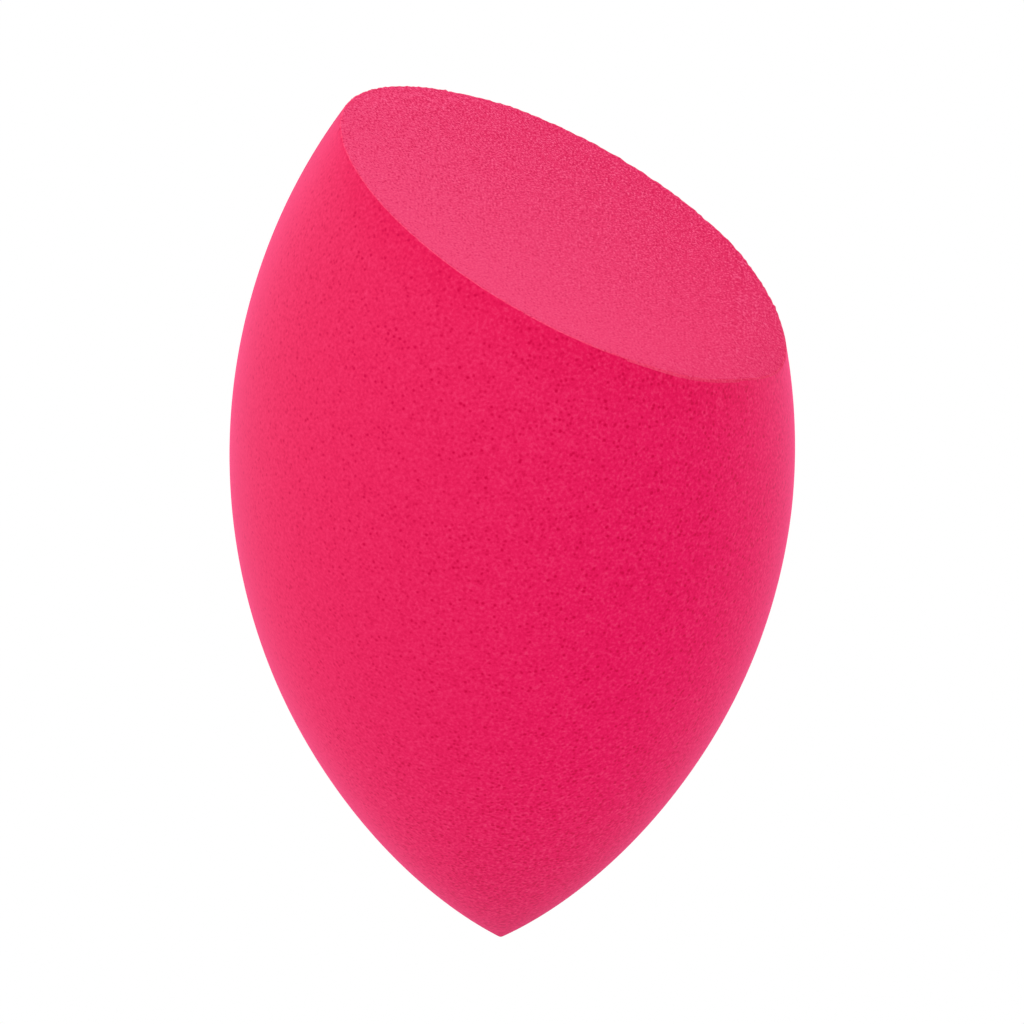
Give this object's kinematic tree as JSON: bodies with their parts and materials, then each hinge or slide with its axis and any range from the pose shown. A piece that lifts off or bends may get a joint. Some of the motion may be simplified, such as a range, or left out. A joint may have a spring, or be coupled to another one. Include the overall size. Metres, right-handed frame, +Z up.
{
  "type": "makeup sponge",
  "caption": "Soft foam makeup sponge: a spindle with a pointed tip, a round waist and a flat, slanted face, standing on that face.",
  "frame": {"origin": "where the spindle's own axis meets the flat, slanted face", "axes": "+Z up, square to the slanted face, which lies on Z = 0; the pointed tip leans over towards +X; XZ is the mirror plane"},
  "size_m": [0.0458, 0.04, 0.0526],
  "materials": {
    "foam": "hot pink dyed open-cell polyurethane foam, dry, fully matt with a soft velvety sheen, fine pores under 0.2 mm"
  },
  "bodies": {
    "root": {"foam_body": "foam"}
  },
  "joints": []
}
